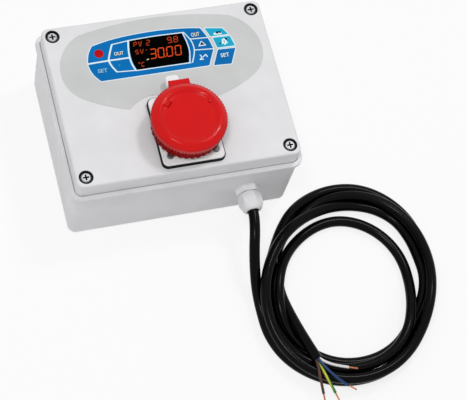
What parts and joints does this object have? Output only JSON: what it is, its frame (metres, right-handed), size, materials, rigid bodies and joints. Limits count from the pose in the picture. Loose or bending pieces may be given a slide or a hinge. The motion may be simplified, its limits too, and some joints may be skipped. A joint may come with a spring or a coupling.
{
  "type": "digital timer",
  "caption": "Wall box of a digital timer with a lit display and membrane keys, a round power socket under a hinged cap, a cable gland and a coiled supply cord.",
  "frame": {"origin": "centre of the box's back face", "axes": "+Z out of the lid, +X along the lid's long side, +Y towards the display; the gland is on the -Y wall"},
  "size_m": [0.3701, 0.4192, 0.14],
  "materials": {
    "enclosure_grey": "fine satin moulding",
    "film": "printed satin film",
    "display_black": "smoked window",
    "black_rubber": "matt",
    "steel": "plated",
    "white_plastic": "smooth moulding",
    "red_plastic": "smooth moulding",
    "insert_grey": "moulded",
    "contact_brass": "plated",
    "board_green": "lacquered",
    "switch_black": "moulded",
    "plunger_white": "moulded",
    "lamp_red": "clear tinted",
    "transformer_core": "potted",
    "relay_blue": "moulded",
    "terminal_green": "moulded",
    "rail_zinc": "zinc plated",
    "contactor_grey": "moulded",
    "terminal_grey": "moulded",
    "cord_black": "smooth sheath",
    "core_brown": "smooth",
    "core_blue": "smooth",
    "core_green_yellow": "striped",
    "core_white": "smooth",
    "copper": "bare strands"
  },
  "bodies": {
    "enclosure": {"base_box": "enclosure_grey", "front_lid": "enclosure_grey", "lid_seal": "black_rubber", "lid_screws": "steel", "screw_washers": "black_rubber", "panel_overlay": "film", "display_window": "display_black", "display_module": "switch_black", "control_board": "board_green", "board_screws": "steel", "switch_bodies": "switch_black", "indicator_leds": "lamp_red", "board_transformer": "transformer_core", "board_relay": "relay_blue", "board_terminals": "terminal_green", "din_rail": "rail_zinc", "rail_screws": "steel", "contactor": "contactor_grey", "terminal_block": "terminal_grey", "socket_gasket": "black_rubber", "socket_housing": "white_plastic", "socket_sleeve": "white_plastic", "socket_can": "white_plastic", "socket_insert": "insert_grey", "socket_contacts": "contact_brass", "socket_screws": "steel", "hinge_pin": "steel", "gland_washer": "black_rubber", "gland_body": "white_plastic", "gland_locknut": "white_plastic", "gland_seal": "black_rubber", "gland_nut": "white_plastic", "supply_cord": "cord_black", "cord_coil": "cord_black", "cord_end": "cord_black", "core_brown": "core_brown", "core_blue": "core_blue", "core_green_yellow": "core_green_yellow", "core_white": "core_white", "conductor_tips": "copper"},
    "cap": {"socket_cap": "red_plastic", "cap_seal": "black_rubber"},
    "ring": {"bayonet_ring": "red_plastic"},
    "key_set_left": {"key_stem_set_left": "plunger_white"},
    "key_function": {"key_stem_function": "plunger_white"},
    "key_up": {"key_stem_up": "plunger_white"},
    "key_down": {"key_stem_down": "plunger_white"},
    "key_set_right": {"key_stem_set_right": "plunger_white"},
    "key_mode_upper": {"key_stem_mode_upper": "plunger_white"},
    "key_mode_lower": {"key_stem_mode_lower": "plunger_white"}
  },
  "joints": [
    {"name": "cap_hinge", "type": "hinge", "parent": "enclosure", "child": "cap", "pos_m": [0.004, -0.0045, 0.125], "axis": [-1, 0, 0], "range_deg": [0, 110]},
    {"name": "ring_turn", "type": "hinge", "parent": "cap", "child": "ring", "pos_m": [0.004, -0.0463, 0.1172], "axis": [0, 0, -1], "range_deg": [0, 35]},
    {"name": "press_set_left", "type": "slide", "parent": "enclosure", "child": "key_set_left", "axis": [0, 0, -1], "range_m": [0, 0.0003], "stiffness_N_per_m": 300},
    {"name": "press_function", "type": "slide", "parent": "enclosure", "child": "key_function", "axis": [0, 0, -1], "range_m": [0, 0.0003], "stiffness_N_per_m": 300},
    {"name": "press_up", "type": "slide", "parent": "enclosure", "child": "key_up", "axis": [0, 0, -1], "range_m": [0, 0.0003], "stiffness_N_per_m": 300},
    {"name": "press_down", "type": "slide", "parent": "enclosure", "child": "key_down", "axis": [0, 0, -1], "range_m": [0, 0.0003], "stiffness_N_per_m": 300},
    {"name": "press_set_right", "type": "slide", "parent": "enclosure", "child": "key_set_right", "axis": [0, 0, -1], "range_m": [0, 0.0003], "stiffness_N_per_m": 300},
    {"name": "press_mode_upper", "type": "slide", "parent": "enclosure", "child": "key_mode_upper", "axis": [0, 0, -1], "range_m": [0, 0.0003], "stiffness_N_per_m": 300},
    {"name": "press_mode_lower", "type": "slide", "parent": "enclosure", "child": "key_mode_lower", "axis": [0, 0, -1], "range_m": [0, 0.0003], "stiffness_N_per_m": 300}
  ]
}
